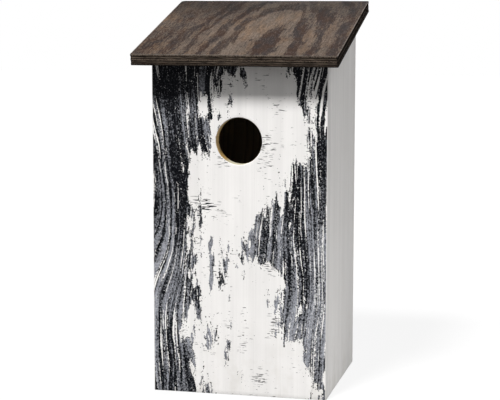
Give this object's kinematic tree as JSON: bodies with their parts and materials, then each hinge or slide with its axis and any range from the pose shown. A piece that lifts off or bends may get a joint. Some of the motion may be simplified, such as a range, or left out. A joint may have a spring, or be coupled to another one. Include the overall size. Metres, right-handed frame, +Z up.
{
  "type": "bird nest box",
  "caption": "Tall wooden bird nest box with a round entrance and a plywood roof that slopes to the front and lifts on hinges at the back",
  "frame": {"origin": "middle of the box's footprint, on the underside of the floor", "axes": "+Z up, -Y towards the front with the entrance, +X to the right of someone who faces the front"},
  "size_m": [0.141, 0.1366, 0.2694],
  "materials": {
    "printed_paint": "matt white paint with a charcoal grain and bark pattern printed over it",
    "white_paint": "thin matt white paint with a faint upright grain",
    "raw_wood": "unpainted sawn softwood",
    "stained_plywood": "dark brown stain on plywood, satin, darker on its edges",
    "zinc_steel": "bright zinc plate",
    "nail_steel": "plain steel"
  },
  "bodies": {
    "nest_box": {"front_panel": "printed_paint", "back_panel": "white_paint", "left_side": "white_paint", "right_side": "white_paint", "floor": "raw_wood", "left_hinge_back_leaf": "zinc_steel", "left_hinge_pin": "zinc_steel", "right_hinge_back_leaf": "zinc_steel", "right_hinge_pin": "zinc_steel", "hanger_plate": "zinc_steel", "hanger_screw_1": "zinc_steel", "hanger_screw_2": "zinc_steel", "hinge_back_screw_1": "zinc_steel", "hinge_back_screw_2": "zinc_steel", "hinge_back_screw_3": "zinc_steel", "hinge_back_screw_4": "zinc_steel", "front_nail_1": "nail_steel", "front_nail_2": "nail_steel", "front_nail_3": "nail_steel", "front_nail_4": "nail_steel", "front_nail_5": "nail_steel", "front_nail_6": "nail_steel", "back_nail_1": "nail_steel", "back_nail_2": "nail_steel", "back_nail_3": "nail_steel", "back_nail_4": "nail_steel", "back_nail_5": "nail_steel", "back_nail_6": "nail_steel", "floor_nail_1": "nail_steel", "floor_nail_2": "nail_steel", "floor_nail_3": "nail_steel", "floor_nail_4": "nail_steel"},
    "roof_lid": {"roof": "stained_plywood", "left_hinge_roof_leaf": "zinc_steel", "right_hinge_roof_leaf": "zinc_steel", "hinge_roof_screw_1": "zinc_steel", "hinge_roof_screw_2": "zinc_steel", "hinge_roof_screw_3": "zinc_steel", "hinge_roof_screw_4": "zinc_steel"}
  },
  "joints": [
    {"name": "roof_hinge", "type": "hinge", "parent": "nest_box", "child": "roof_lid", "pos_m": [0, 0.059, 0.26212], "axis": [-1, 0, 0], "range_deg": [0, 110]}
  ]
}
